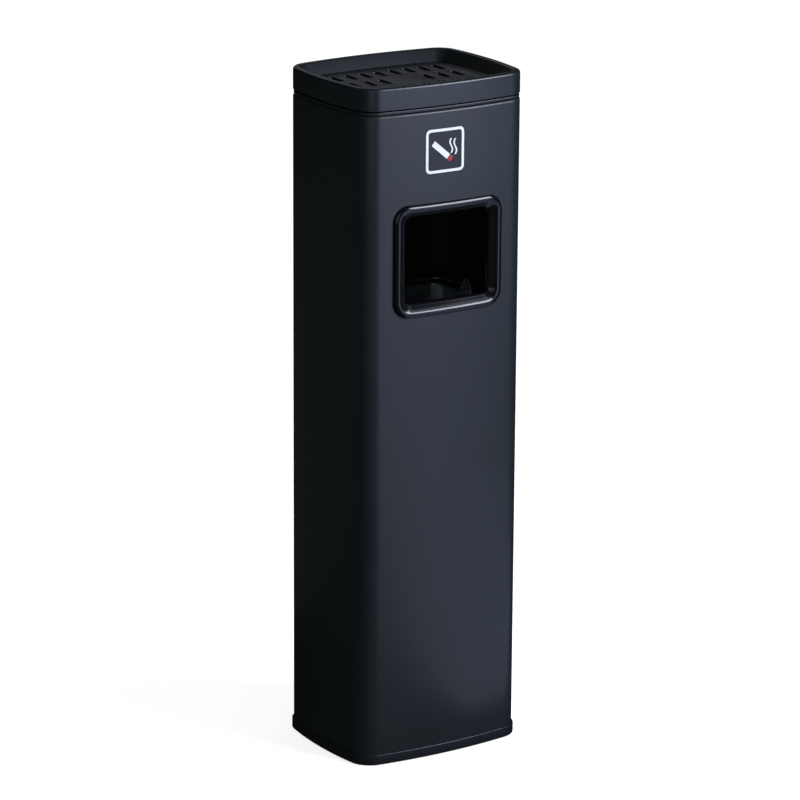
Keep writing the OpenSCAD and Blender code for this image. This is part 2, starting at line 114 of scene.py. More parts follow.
def shape_mesh(base):
    """The object's shape with its modifiers worked in, as a plain mesh; the object is removed."""
    bpy.context.view_layer.update()
    graph = bpy.context.evaluated_depsgraph_get()
    mesh = bpy.data.meshes.new_from_object(base.evaluated_get(graph), depsgraph=graph)
    bpy.data.objects.remove(base)
    return mesh


def line_object(points, closed=True, widths=None):
    """A poly curve through points, flat or not, as an object; a width scales what is drawn along it."""
    curve = bpy.data.curves.new("outline", "CURVE")
    curve.dimensions = "3D"
    line = curve.splines.new("POLY")
    line.points.add(len(points) - 1)
    for i, p in enumerate(points):
        line.points[i].co = (p[0], p[1], p[2] if len(p) > 2 else 0.0, 1.0)
        line.points[i].radius = widths[i] if widths else 1.0
    line.use_cyclic_u = closed
    return linked("outline", curve)


def sweep_tree():
    """Geometry nodes that draw a section along a path and give it a material."""
    tree = bpy.data.node_groups.new("sheet swept round", "GeometryNodeTree")
    face = tree.interface
    face.new_socket("Path", in_out="INPUT", socket_type="NodeSocketGeometry")
    face.new_socket("Section", in_out="INPUT", socket_type="NodeSocketObject")
    face.new_socket("Closed Ends", in_out="INPUT", socket_type="NodeSocketBool")
    face.new_socket("Finish", in_out="INPUT", socket_type="NodeSocketMaterial")
    face.new_socket("Piece", in_out="OUTPUT", socket_type="NodeSocketGeometry")
    put, out = tree.nodes.new("NodeGroupInput"), tree.nodes.new("NodeGroupOutput")
    section = tree.nodes.new("GeometryNodeObjectInfo")
    sweep = tree.nodes.new("GeometryNodeCurveToMesh")
    smooth = tree.nodes.new("GeometryNodeSetShadeSmooth")
    real = tree.nodes.new("GeometryNodeRealizeInstances")
    finish = tree.nodes.new("GeometryNodeSetMaterial")
    join = tree.links.new
    join(put.outputs["Section"], section.inputs["Object"])
    join(put.outputs["Path"], sweep.inputs["Curve"])
    join(section.outputs["Geometry"], sweep.inputs["Profile Curve"])
    join(put.outputs["Closed Ends"], sweep.inputs["Fill Caps"])
    width = tree.nodes.new("GeometryNodeInputRadius")
    join(width.outputs["Radius"], sweep.inputs["Scale"])
    join(sweep.outputs["Mesh"], smooth.inputs["Geometry"])
    join(smooth.outputs["Geometry"], real.inputs["Geometry"])
    join(real.outputs["Geometry"], finish.inputs["Geometry"])
    join(put.outputs["Finish"], finish.inputs["Material"])
    join(finish.outputs["Geometry"], out.inputs["Piece"])
    return tree


SWEEP = sweep_tree()


def run_tree(base, tree, values):
    """Runs a geometry tree on an object and returns its result as a plain mesh."""
    step = base.modifiers.new("shape", "NODES")
    step.node_group = tree
    sockets = {s.name: s.identifier for s in tree.interface.items_tree if s.in_out == "INPUT"}
    for label, value in values.items():
        step[sockets[label]] = value
    return shape_mesh(base)


def tidy_mesh(mesh, crease=35.0, merge=1e-6):
    """Merges doubles, turns the faces outwards and keeps bends sharper than the crease as edges."""
    bm = bmesh.new()
    bm.from_mesh(mesh)
    bmesh.ops.remove_doubles(bm, verts=bm.verts, dist=merge)
    bmesh.ops.recalc_face_normals(bm, faces=bm.faces)
    for f in bm.faces:
        f.smooth = True
    bm.to_mesh(mesh)
    bm.free()
    mesh.set_sharp_from_angle(angle=math.radians(crease))
    return mesh


def put_piece(name, mesh, body, slot, *nodes):
    """Makes a finished mesh a piece that rides on a body and stands for its CAD nodes."""
    piece = linked(name, mesh)
    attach(piece, body)
    if nodes:
        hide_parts(*nodes)
    return piece


def section_object(section, closed=True):
    """A section to be swept: x is the distance outwards, y the height."""
    return line_object([Vector((p[0], -p[1])) for p in section], closed)


def swept_mesh(path, section, material, closed_section=True):
    """A section drawn round a closed path, as one clean mesh."""
    profile = section_object(section, closed_section)
    mesh = run_tree(line_object(path), SWEEP, {"Section": profile, "Finish": material})
    bpy.data.objects.remove(profile)
    return tidy_mesh(mesh)


def rounded_ends(points, r, steps=3):
    """The same closed outline with each corner rounded to r, for sheet edges and small bends."""
    out = []
    for i, p in enumerate(points):
        before, after = points[i - 1] - p, points[(i + 1) % len(points)] - p
        turn = before.angle(after)
        if turn > math.radians(150):
            out.append(p)
            continue
        reach = min(r / math.tan(turn / 2), before.length * 0.49, after.length * 0.49)
        radius = reach * math.tan(turn / 2)
        towards = (before.normalized() + after.normalized()).normalized()
        middle = p + towards * math.hypot(reach, radius)
        first = p + before.normalized() * reach - middle
        last = p + after.normalized() * reach - middle
        for k in range(steps + 1):
            mix = first.lerp(last, k / steps).normalized() * radius
            out.append(middle + mix)
    return out


def new_material(name):
    """A new material and its shader."""
    made = bpy.data.materials.new(name)
    made.use_nodes = True
    return made, made.node_tree.nodes["Principled BSDF"]


def pattern(made, kind, scale, detail=None):
    """A pattern node that reads the piece's own coordinates."""
    place = made.node_tree.nodes.new("ShaderNodeTexCoord")
    node = made.node_tree.nodes.new(kind)
    node.inputs["Scale"].default_value = scale
    if detail is not None:
        node.inputs["Detail"].default_value = detail
    made.node_tree.links.new(place.outputs["Object"], node.inputs["Vector"])
    return node


def tinted(base, share):
    """A colour made darker or lighter by a share."""
    return (*[min(1.0, c * share) for c in base], 1)


def add_tone(made, shader, value, dark, light):
    """The value leads the colour from dark to light."""
    tone = made.node_tree.nodes.new("ShaderNodeMix")
    tone.data_type = "RGBA"
    tone.inputs["A"].default_value = dark
    tone.inputs["B"].default_value = light
    made.node_tree.links.new(value, tone.inputs["Factor"])
    made.node_tree.links.new(tone.outputs["Result"], shader.inputs["Base Color"])


def add_sheen(made, shader, value, low, high):
    """The value leads the roughness from low to high."""
    sheen = made.node_tree.nodes.new("ShaderNodeMapRange")
    sheen.inputs["To Min"].default_value = low
    sheen.inputs["To Max"].default_value = high
    made.node_tree.links.new(value, sheen.inputs["Value"])
    made.node_tree.links.new(sheen.outputs["Result"], shader.inputs["Roughness"])


def add_bump(made, shader, value, distance, strength):
    """The value stands up from the surface as a fine grain."""
    bump = made.node_tree.nodes.new("ShaderNodeBump")
    bump.inputs["Distance"].default_value = distance
    bump.inputs["Strength"].default_value = strength
    made.node_tree.links.new(value, bump.inputs["Height"])
    made.node_tree.links.new(bump.outputs["Normal"], shader.inputs["Normal"])


def coat_material(name, base, roughness, grain=0.00006, mottle=0.12):
    """Satin powder coat: fine orange peel, faint clouding, and a slightly uneven sheen."""
    made, shader = new_material(name)
    shader.inputs["IOR"].default_value = 1.5
    cloud = pattern(made, "ShaderNodeTexNoise", 22.0, 4.0).outputs["Fac"]
    add_tone(made, shader, cloud, tinted(base, 1 - mottle), tinted(base, 1 + mottle))
    add_sheen(made, shader, cloud, roughness - 0.04, roughness + 0.04)
    peel = pattern(made, "ShaderNodeTexNoise", 900.0, 2.0).outputs["Fac"]
    add_bump(made, shader, peel, grain, 0.35)
    return made


case_coat = coat_material("case coat", (0.0120, 0.0155, 0.0175), 0.36)
# The coat inside the case is rougher, and its darker colour is painted shade for the hollow.
shaded_inside_coat = coat_material("rough inside coat, painted shade", (0.0070, 0.0080, 0.0090), 0.75)


def case_section():
    """The wall's section, with its shoulder and its turned-in flange; its foot edge is square."""
    bend = (-shoulder_r, mouth_z - shoulder_r)
    outer = arc(bend, shoulder_r, 0, 90, 8)
    inner = arc(bend, shoulder_r - sheet, 90, 0, 8)
    flange_end = [Vector((-mouth_flange, mouth_z)), Vector((-mouth_flange, mouth_z - sheet))]
    rings = [frame_low.z, frame_high.z]
    outside = [Vector((0, z)) for z in [lip_top] + rings]
    inside = [Vector((-sheet, z)) for z in list(reversed(rings)) + [lip_top]]
    return outside + outer + flange_end + inner + inside


def rounded_rectangle(w, h, r, steps=10):
    """A rectangle with round corners about the origin, anticlockwise."""
    points = []
    for turn, sx, sy in ((0, 1, 1), (90, -1, 1), (180, -1, -1), (270, 1, -1)):
        points += arc((sx * (w / 2 - r), sy * (h / 2 - r)), r, turn, turn + 90, steps)
    return points


opening_w = 85.0 * MM
opening_h = 77.0 * MM
opening_r = 5.5 * MM
throat_wall = 2.5 * MM
slide_gap = 0.4 * MM
cut_w = opening_w + 2 * (throat_wall + slide_gap)
cut_h = opening_h + 2 * (throat_wall + slide_gap)
cut_r = opening_r + throat_wall + slide_gap


def prism(rows):
    """A closed prism between two rows of points, to cut with."""
    bm = bmesh.new()
    near, far = [[bm.verts.new(p) for p in row] for row in rows]
    bm.faces.new(near)
    bm.faces.new(far)
    for i in range(len(near)):
        j = (i + 1) % len(near)
        bm.faces.new((near[i], near[j], far[j], far[i]))
    bmesh.ops.recalc_face_normals(bm, faces=bm.faces)
    mesh = bpy.data.meshes.new("cutter")
    bm.to_mesh(mesh)
    bm.free()
    return linked("cutter", mesh)


def cut_away(mesh, cutter):
    """Cuts the cutter's shape out of a mesh."""
    base = linked("base", mesh)
    cut = base.modifiers.new("cut", "BOOLEAN")
    cut.operation = "DIFFERENCE"
    cut.solver = "EXACT"
    cut.object = cutter
    result = shape_mesh(base)
    bpy.data.objects.remove(cutter)
    return tidy_mesh(result)


case_mesh = swept_mesh(case_plan(), case_section(), case_coat)
case_hole = rounded_rectangle(cut_w, cut_h, cut_r)
case_cutter = prism([[(p.x, y, opening_z + p.y) for p in case_hole] for y in (-half_d * 1.2, -half_d / 2)])
case_cut = cut_away(case_mesh, case_cutter)
case_cut.materials.append(shaded_inside_coat)
# Faces that look into the case take the inside coat, whose darker colour is painted shade.
for face in case_cut.polygons:
    if face.normal.xy.dot(face.center.xy) < 0 and abs(face.normal.z) < 0.5:
        face.material_index = 1
put_piece("case", case_cut, "case", "coat", "case_shell")

# ---- Base ring ----
# The base ring is one black moulding that the case stands in. Its inward lip lies under the
# sheet's edge, and four screws and four rubber pads sit in that lip.
base_low, base_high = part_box("base_ring")
base_proud = base_high.x - half_w
base_lip = 16.0 * MM


def moulded_material(name, base, roughness, grain):
    """Injection-moulded black plastic with a fine spark texture."""
    made, shader = new_material(name)
    shader.inputs["IOR"].default_value = 1.49
    speck = pattern(made, "ShaderNodeTexNoise", 700.0, 5.0).outputs["Fac"]
    add_tone(made, shader, speck, tinted(base, 0.85), tinted(base, 1.2))
    add_sheen(made, shader, speck, roughness * 0.9, roughness * 1.1)
    add_bump(made, shader, speck, grain, 0.3)
    return made


ring_moulding = moulded_material("base ring moulding", (0.0100, 0.0115, 0.0140), 0.36, 0.00005)


def base_section():
    """The ring's section: a proud outer wall with an eased top edge, and the inward lip."""
    groove = 0.2 * MM
    corners = [
        (-base_lip, base_low.z), (base_proud, base_low.z), (base_proud, base_high.z),
        (groove, base_high.z), (groove, lip_top), (-base_lip, lip_top)]
    return rounded_ends([Vector(c) for c in corners], 0.7 * MM, 4)


ring_mesh = swept_mesh(case_plan(), base_section(), ring_moulding)
put_piece("base_ring_moulding", ring_mesh, "case", "moulded", "base_ring")


# ---- Bottom plate ----
# The bottom plate is a pressed steel tray, 1.2 mm thick and coated like the case. Its flange
# stands up inside the case wall, where it is spot welded.
plate_low, plate_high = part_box("bottom_plate")
floor_t = 1.2 * MM


def thickened(mesh, thickness, material, crease=35.0):
    """A skin given its sheet's thickness on the inside, as one clean mesh of one material."""
    base = linked("skin", mesh)
    wall = base.modifiers.new("wall", "SOLIDIFY")
    wall.thickness = thickness
    wall.offset = -1.0
    wall.use_even_offset = True
    solid = shape_mesh(base)
    solid.materials.clear()
    solid.materials.append(material)
    return tidy_mesh(solid, crease)


def tray_mesh(path, section, thickness, material):
    """A pressed tray; the section gives its outside, from its edge to the start of its flat floor."""
    mesh = swept_mesh(path, section, material, closed_section=False)
    bm = bmesh.new()
    bm.from_mesh(mesh)
    low = min(v.co.z for v in bm.verts)
    rim = [e for e in bm.edges if e.is_boundary and max(v.co.z for v in e.verts) < low + 1e-6]
    floor_face = bmesh.ops.contextual_create(bm, geom=rim)["faces"][0]
    bmesh.ops.recalc_face_normals(bm, faces=bm.faces)
    if floor_face.normal.z > 0:
        bmesh.ops.reverse_faces(bm, faces=bm.faces)
    bm.to_mesh(mesh)
    bm.free()
    return thickened(mesh, thickness, material)


def bottom_section():
    """Outside of the tray: up-turned flange, a bend, and the underside of the floor."""
    edge = -(sheet + 0.2 * MM)
    bend = 2.2 * MM
    return ([Vector((edge, plate_high.z))]
            + arc((edge - bend, plate_low.z + bend), bend, 0, -90, 6)
            + [Vector((edge - 12 * MM, plate_low.z))])


tray = tray_mesh(case_plan(), bottom_section(), floor_t, case_coat)
put_piece("bottom_tray", tray, "case", "coat", "bottom_plate")

# ---- Base screws ----
# Four zinc-plated pan-head screws with cross recesses go up through the base ring's lip into
# the bottom plate. Their heads sit in counterbores, clear of the floor.


def metal_material(name, base, roughness, spangle=0.0, scale=90.0):
    """Bare or plated metal, with crystals like those of a zinc dip where spangle is above zero."""
    made, shader = new_material(name)
    shader.inputs["Metallic"].default_value = 1.0
    link = made.node_tree.links.new
    crystal = pattern(made, "ShaderNodeTexVoronoi", scale)
    smear = pattern(made, "ShaderNodeTexNoise", scale * 0.4, 5.0)
    shade = made.node_tree.nodes.new("ShaderNodeSeparateColor")
    link(crystal.outputs["Color"], shade.inputs["Color"])
    blend = made.node_tree.nodes.new("ShaderNodeMix")
    blend.inputs["Factor"].default_value = spangle
    link(smear.outputs["Fac"], blend.inputs["A"])
    link(shade.outputs["Red"], blend.inputs["B"])
    add_tone(made, shader, blend.outputs["Result"], tinted(base, 0.80), tinted(base, 1.15))
    add_sheen(made, shader, blend.outputs["Result"], roughness * 0.8, roughness * 1.25)
    return made


zinc_plate = metal_material("zinc plating", (0.55, 0.56, 0.57), 0.32)


def turned_mesh(section, steps=32):
    """A round piece about z from its section (x is the radius); ends on the axis are closed."""
    bm = bmesh.new()
    points = [bm.verts.new((p[0], 0, p[1])) for p in section]
    edges = [bm.edges.new(pair) for pair in zip(points, points[1:])]
    bmesh.ops.spin(bm, geom=points + edges, cent=(0, 0, 0), axis=(0, 0, 1),
                   angle=2 * math.pi, steps=steps, use_merge=True)
    mesh = bpy.data.meshes.new("turned")
    bm.to_mesh(mesh)
    bm.free()
    return tidy_mesh(mesh)


def screw_object(shank_r, head_r, head_h, shank_l, recess):
    """A pan-head screw with a cross recess: its head lies below z = 0, its shank goes up."""
    tip = 0.5 * MM
    section = [(0, -head_h), (head_r * 0.62, -head_h * 0.93), (head_r * 0.88, -head_h * 0.68),
               (head_r, -head_h * 0.25), (head_r, 0), (shank_r, 0)]
    pitch = 0.9 * MM
    turns = int((shank_l - tip) / pitch)
    for i in range(turns):
        section += [(shank_r, i * pitch), (shank_r * 0.84, (i + 0.5) * pitch)]
    section += [(shank_r, turns * pitch), (shank_r * 0.7, shank_l), (0, shank_l)]
    mesh = turned_mesh(section, 28)
    reach, slit = head_r * 0.56, head_r * 0.15
    quarter = [Vector((reach, slit)), Vector((slit, slit)), Vector((slit, reach))]
    cross = [Vector((p.x * c - p.y * s, p.x * s + p.y * c))
             for c, s in ((1, 0), (0, 1), (-1, 0), (0, -1)) for p in quarter]
    cutter = prism([[(p.x, p.y, z) for p in cross] for z in (-head_h * 1.5, recess - head_h)])
    return linked("screw", cut_away(mesh, cutter))


def set_out_tree():
    """Geometry nodes that stand one fastener on each point, its z along that point's axis."""
    tree = bpy.data.node_groups.new("fasteners set out", "GeometryNodeTree")
    face = tree.interface
    face.new_socket("Points", in_out="INPUT", socket_type="NodeSocketGeometry")
    face.new_socket("Fastener", in_out="INPUT", socket_type="NodeSocketObject")
    face.new_socket("Finish", in_out="INPUT", socket_type="NodeSocketMaterial")
    face.new_socket("Seed", in_out="INPUT", socket_type="NodeSocketInt")
    face.new_socket("Piece", in_out="OUTPUT", socket_type="NodeSocketGeometry")
    put, out = tree.nodes.new("NodeGroupInput"), tree.nodes.new("NodeGroupOutput")
    fastener = tree.nodes.new("GeometryNodeObjectInfo")
    axis = tree.nodes.new("GeometryNodeInputNamedAttribute")
    axis.data_type = "FLOAT_VECTOR"
    axis.inputs["Name"].default_value = "axis"
    align = tree.nodes.new("FunctionNodeAlignRotationToVector")
    align.axis = "Z"
    turn = tree.nodes.new("FunctionNodeRandomValue")
    turn.data_type = "FLOAT"
    turn.inputs["Max"].default_value = math.pi / 2
    spin = tree.nodes.new("ShaderNodeCombineXYZ")
    rotate = tree.nodes.new("FunctionNodeRotateRotation")
    rotate.rotation_space = "LOCAL"
    place = tree.nodes.new("GeometryNodeInstanceOnPoints")
    real = tree.nodes.new("GeometryNodeRealizeInstances")
    finish = tree.nodes.new("GeometryNodeSetMaterial")
    join = tree.links.new
    join(put.outputs["Points"], place.inputs["Points"])
    join(put.outputs["Fastener"], fastener.inputs["Object"])
    join(fastener.outputs["Geometry"], place.inputs["Instance"])
    join(axis.outputs["Attribute"], align.inputs["Vector"])
    join(put.outputs["Seed"], turn.inputs["Seed"])
    join(turn.outputs[1], spin.inputs["Z"])
    join(align.outputs["Rotation"], rotate.inputs["Rotation"])
    join(spin.outputs["Vector"], rotate.inputs["Rotate By"])
    join(rotate.outputs["Rotation"], place.inputs["Rotation"])
    join(place.outputs["Instances"], real.inputs["Geometry"])
    join(real.outputs["Geometry"], finish.inputs["Geometry"])
    join(put.outputs["Finish"], finish.inputs["Material"])
    join(finish.outputs["Geometry"], out.inputs["Piece"])
    return tree


SET_OUT = set_out_tree()


def set_out(places, axes, fastener, material, seed):
    """One mesh of like fasteners, one at each place, pointing along its axis."""
    mesh = bpy.data.meshes.new("places")
    mesh.from_pydata([tuple(p) for p in places], [], [])
    mesh.attributes.new("axis", "FLOAT_VECTOR", "POINT").data.foreach_set(
        "vector", [c for a in axes for c in a])
    base = linked("places", mesh)
    made = run_tree(base, SET_OUT, {"Fastener": fastener, "Finish": material, "Seed": seed})
    bpy.data.objects.remove(fastener)
    return tidy_mesh(made)


def base_screw_places():
    """One screw at the middle of each face, its head's seat 3.4 mm above the floor."""
    inset, seat = 8.5 * MM, base_low.z + 2.4 * MM
    x, y = half_w - inset, half_d - inset
    return [(x, 0, seat), (-x, 0, seat), (0, y, seat), (0, -y, seat)]


base_screw = screw_object(1.75 * MM, 3.5 * MM, 2.2 * MM, 5.1 * MM, 1.6 * MM)
screws = set_out(base_screw_places(), [(0, 0, 1)] * 4, base_screw, zinc_plate, 3)
put_piece("base_screw_set", screws, "case", "zinc_wire", "base_screws")

# ---- Foot pads ----
# Four moulded rubber pads are pressed into sockets near the ring's corners. Each stands 1 mm
# out, with an eased edge and one fine tread groove, and carries the bin on the floor.
rubber = moulded_material("pad rubber", (0.018, 0.018, 0.018), 0.78, 0.00008)


def pad_section(r, h):
    """A flat round pad with eased edges and a shallow ring groove in its underside."""
    ease, groove = 0.35 * MM, 0.3 * MM
    mid = r * 0.55
    return ([Vector((0, 0)), Vector((mid - groove, 0)), Vector((mid, groove)), Vector((mid + groove, 0))]
            + arc((r - ease, ease), ease, -90, 0, 4)
            + arc((r - ease, h - ease), ease, 0, 90, 4) + [Vector((0, h))])


for place in ("front_left", "front_right", "back_left", "back_right"):
    low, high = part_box("foot_pad_" + place)
    pad = turned_mesh(pad_section((high.x - low.x) / 2, high.z), 40)
    for v in pad.vertices:
        v.co += Vector(((low.x + high.x) / 2, (low.y + high.y) / 2, 0))
    pad.materials.append(rubber)
    put_piece("pad_" + place, pad, "case", "pad_rubber", "foot_pad_" + place)

# ---- Litter opening frame ----
# The frame is a glossy black moulding pushed in from the front. Its lip follows the bowed face
# with a rounded outer wall and a funnel slope, and its throat runs back through the sheet.
gloss_moulding = moulded_material("gloss moulding", (0.0045, 0.0045, 0.0050), 0.16, 0.000002)
frame_w = frame_high.x - frame_low.x
frame_h = frame_high.z - frame_low.z
frame_r = 15.0 * MM
frame_proud = 3.5 * MM
throat_back = -half_d + 8.0 * MM
frame_lip = (frame_w - opening_w) / 2


def front_face(x):
    """The front face's y at a distance x to the side."""
    return front_bow - half_d - math.sqrt(front_bow ** 2 - x ** 2)


def split_long(outline, parts=16):
    """Adds the same number of points to each straight side, so that a loop can bend."""
    out = []
    per_corner = len(outline) // 4
    for i, p in enumerate(outline):
        out.append(p)
        if (i + 1) % per_corner == 0:
            q = outline[(i + 1) % len(outline)]
            out += [p.lerp(q, k / parts) for k in range(1, parts)]
    return out


def frame_rings():
    """Rings round the frame's skin as (set in from the lip's outline, distance out of the face).
    A distance of None lies in the flat plane at the throat's back."""
    crown, crown_h = 4.8 * MM, 3.3 * MM
    slope_foot, slope_end = -2.4 * MM, frame_lip - 1.2 * MM
    slope_low = slope_foot + 1.0 * MM
    face_gap = 0.05 * MM
    rings = [(0.0, face_gap)]
    for turn in range(0, 91, 10):
        a = math.radians(turn)
        rings.append((crown - crown * math.cos(a), (frame_proud - crown_h) + crown_h * math.sin(a)))
    for k in range(1, 7):
        s = k / 6
        rings.append((crown + (slope_end - crown) * s, frame_proud + (slope_low - frame_proud) * s ** 1.25))
    rings += [(frame_lip - 0.4 * MM, slope_foot + 0.5 * MM), (frame_lip, slope_foot - 0.6 * MM)]
    inner = frame_lip - throat_wall
    rings += [(frame_lip, None), (inner, None), (inner, -0.2 * MM), (inner - 0.3 * MM, face_gap)]
    return rings


def frame_mesh():
    """Skins the rings into one closed moulding."""
    bm = bmesh.new()
    loops = []
    for inset, out in frame_rings():
        share = min(1.0, max(0.0, inset / frame_lip))
        w = frame_w - 2 * inset
        h = frame_h - 2 * inset * (frame_h - opening_h) / (frame_w - opening_w)
        r = frame_r + (opening_r - frame_r) * share
        outline = split_long(rounded_rectangle(w, h, max(r, 1 * MM), 12))
        loops.append([(p.x, throat_back if out is None else front_face(p.x) - out, opening_z + p.y)
                      for p in outline])
    verts = [[bm.verts.new(p) for p in loop] for loop in loops]
    count = len(verts[0])
    for a, b in zip(verts, verts[1:] + verts[:1]):
        for i in range(count):
            j = (i + 1) % count
            bm.faces.new((a[i], a[j], b[j], b[i]))
    mesh = bpy.data.meshes.new("frame")
    bm.to_mesh(mesh)
    bm.free()
    mesh.materials.append(gloss_moulding)
    return tidy_mesh(mesh, crease=40)


put_piece("litter_frame", frame_mesh(), "case", "gloss", "opening_frame")

# ---- Frame retainer ----
# Behind the sheet a black moulded retainer pinches the frame against the front. It is flat at
# the back, and fine eased edges run round it and round its screw holes.


def eased_copy(node, width, material):
    """A copy of a CAD node's own shape with its sharp edges eased."""
    bm = bmesh.new()
    bm.from_mesh(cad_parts[node].data)
    bmesh.ops.remove_doubles(bm, verts=bm.verts, dist=2e-6)
    bmesh.ops.dissolve_limit(bm, angle_limit=math.radians(0.5), verts=bm.verts, edges=bm.edges)
    for f in bm.faces:
        f.smooth = True
    mesh = bpy.data.meshes.new(node)
    bm.to_mesh(mesh)
    bm.free()
    base = linked("eased", mesh)
    ease = base.modifiers.new("eased edges", "BEVEL")
    ease.width = width
    ease.segments = 2
    ease.limit_method = "ANGLE"
    ease.angle_limit = math.radians(50)
    solid = shape_mesh(base)
    solid.materials.clear()
    solid.materials.append(material)
    solid.set_sharp_from_angle(angle=math.radians(35))
    return solid


retainer_moulding = moulded_material("retainer moulding", (0.0100, 0.0100, 0.0110), 0.5, 0.00006)
retainer = eased_copy("frame_retainer", 0.3 * MM, retainer_moulding)
put_piece("retainer_plate", retainer, "case", "moulded", "frame_retainer")

# ---- Frame screws ----
# Four small screws go in from inside the case, through the retainer and the sheet into the
# frame's lip, so nothing shows from the front.


def frame_screw_places():
    """One screw near each corner of the opening, seated on the retainer's flat back."""
    x, z = opening_w / 2 + 5 * MM, opening_h / 2 + 3 * MM
    seat = -half_d + 7 * MM
    return [(sx * x, seat, opening_z + sz * z) for sx in (-1, 1) for sz in (-1, 1)]


frame_screw = screw_object(1.45 * MM, 2.8 * MM, 1.8 * MM, 5.0 * MM, 1.3 * MM)
clamp_screws = set_out(frame_screw_places(), [(0, -1, 0)] * 4, frame_screw, zinc_plate, 5)
put_piece("frame_screw_set", clamp_screws, "case", "zinc_wire", "frame_screws")

# ---- Sign ----
# The sign is a square of black film stuck to the front, screen printed with a white border, a
# cigarette and its smoke, and a red ember. The film lies in its CAD place, only its finish is new.


def print_material(name, base, roughness):
    """Screen ink or film: nearly even, with a faint mottle."""
    made, shader = new_material(name)
    shader.inputs["Roughness"].default_value = roughness
    mottle = pattern(made, "ShaderNodeTexNoise", 450.0).outputs["Fac"]
    add_tone(made, shader, mottle, tinted(base, 0.93), tinted(base, 1.05))
    return made


def finish_node(node, material):
    """Gives a CAD node that is shown as it is a better finish."""
    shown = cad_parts[node]
    shown.data.materials.clear()
    shown.data.materials.append(material)


finish_node("sign_film", print_material("sign film", (0.0070, 0.0085, 0.0115), 0.38))
finish_node("sign_print_white", print_material("white ink", (0.78, 0.79, 0.78), 0.5))
finish_node("sign_print_red", print_material("red ink", (0.45, 0.02, 0.018), 0.5))

# ---- Head ----
# The head is a pressed steel cap that lifts off. Its rim is rolled over to a smooth edge and
# then slopes down into the well, where a narrow ledge carries the ash pan.
head_low, head_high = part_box("head_shell")
total_h = head_high.z
skirt_z = head_low.z
rim_round = 2.6 * MM
rim_inner_r = 2.4 * MM
rim_w = 5.0 * MM
well_inset = 14.0 * MM
well_depth = 10.0 * MM
ledge_w = 2.8 * MM
plate_top = total_h - well_depth
pan_low, pan_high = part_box("ash_pan")
pan_t = 0.8 * MM
seat_gap = 0.3 * MM
ledge_z = pan_high.z - pan_t - seat_gap


def head_side(t):
    """One side of the head's sheet, t below its outer side, from the skirt's edge to the ledge."""
    run, fall = well_inset - rim_w, well_depth - rim_inner_r
    slope = math.atan2(fall, run) + math.asin(rim_inner_r / math.hypot(run, fall))
    down = -t * math.cos(slope) + t * (1 - math.sin(slope)) * math.tan(slope)
    return ([Vector((-t, skirt_z))]
            + arc((-rim_round, total_h - rim_round), rim_round - t, 0, 90, 10)
            + arc((-rim_w, total_h - rim_inner_r), rim_inner_r - t, 90, 90 + math.degrees(slope), 8)
            + [Vector((t - well_inset, plate_top + down)), Vector((t - well_inset, ledge_z - t)),
               Vector((-well_inset - ledge_w, ledge_z - t))])


head_section = head_side(0) + list(reversed(head_side(sheet)))
head_coat = coat_material("head coat", (0.0120, 0.0155, 0.0175), 0.30)
head_mesh = swept_mesh(case_plan(), head_section, head_coat)
put_piece("head", head_mesh, "head", "coat", "head_shell")

# ---- Neck ring ----
# The neck ring is coated steel, spot welded under the head's ledge. Its band shows below a narrow
# dark gap, nearly flush with the case, and its wall drops into the case's mouth.
neck_low, neck_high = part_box("neck_ring")
neck_setback = 0.6 * MM
gap_h = 1.5 * MM


def neck_section():
    """The ring's section: flange under the ledge, wall into the mouth, and the band round it."""
    band, wall = -neck_setback, -(mouth_flange + slide_gap)
    foot, shelf = mouth_z + seat_gap, skirt_z - gap_h
    top = neck_high.z
    inner_end = -well_inset - ledge_w
    return [Vector(p) for p in (
        (wall, top), (wall, shelf), (band, shelf), (band, foot), (wall, foot), (wall, neck_low.z),
        (wall - sheet, neck_low.z), (wall - sheet, top - sheet), (inner_end, top - sheet), (inner_end, top))]


neck_mesh = swept_mesh(case_plan(), rounded_ends(neck_section(), 0.35 * MM, 2), case_coat)
put_piece("neck", neck_mesh, "head", "coat", "neck_ring")

# ---- Ash pan ----
# The ash pan is a pressed tray of 0.8 mm steel that hangs by its flange on the head's ledge. Its
# coat, shared with the stub plate, is darker than the case's as painted shade in the well, and more clouded.
well_coat = coat_material("well coat with painted shade", (0.0085, 0.0092, 0.0110), 0.36, 0.00007, 0.2)


def pan_section():
    """Outside of the pan: underside of its flange, the wall and the turn into the floor."""
    wall = -(well_inset + ledge_w + slide_gap)
    flange_edge = -(well_inset + slide_gap)
    under = pan_high.z - pan_t
    neck, bend = 0.5 * MM, 1.9 * MM
    return ([Vector((flange_edge, under))]
            + arc((wall + neck, under - neck), neck, 90, 180, 4)
            + arc((wall - bend, pan_low.z + bend), bend, 0, -90, 8)
            + [Vector((wall - bend - 0.3 * MM, pan_low.z))])


pan_mesh = tray_mesh(case_plan(), pan_section(), pan_t, well_coat)
put_piece("pan_tray", pan_mesh, "pan", "well_coat", "ash_pan")

# ---- Stub plate ----
# The stub plate covers the pan. Its slots are punched and their edges drawn down in one press,
# which leaves a smooth roll round each, and its own edge is turned down to stand on the pan.
stub_low, stub_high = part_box("stub_plate")
stub_t = 0.8 * MM
stub_inset = 14.6 * MM
slot_l, slot_w = 20.0 * MM, 5.0 * MM
pitch_x, pitch_y = 15.0 * MM, 31.0 * MM
roll_r = 1.3 * MM
slot_turn = 1.5 * MM


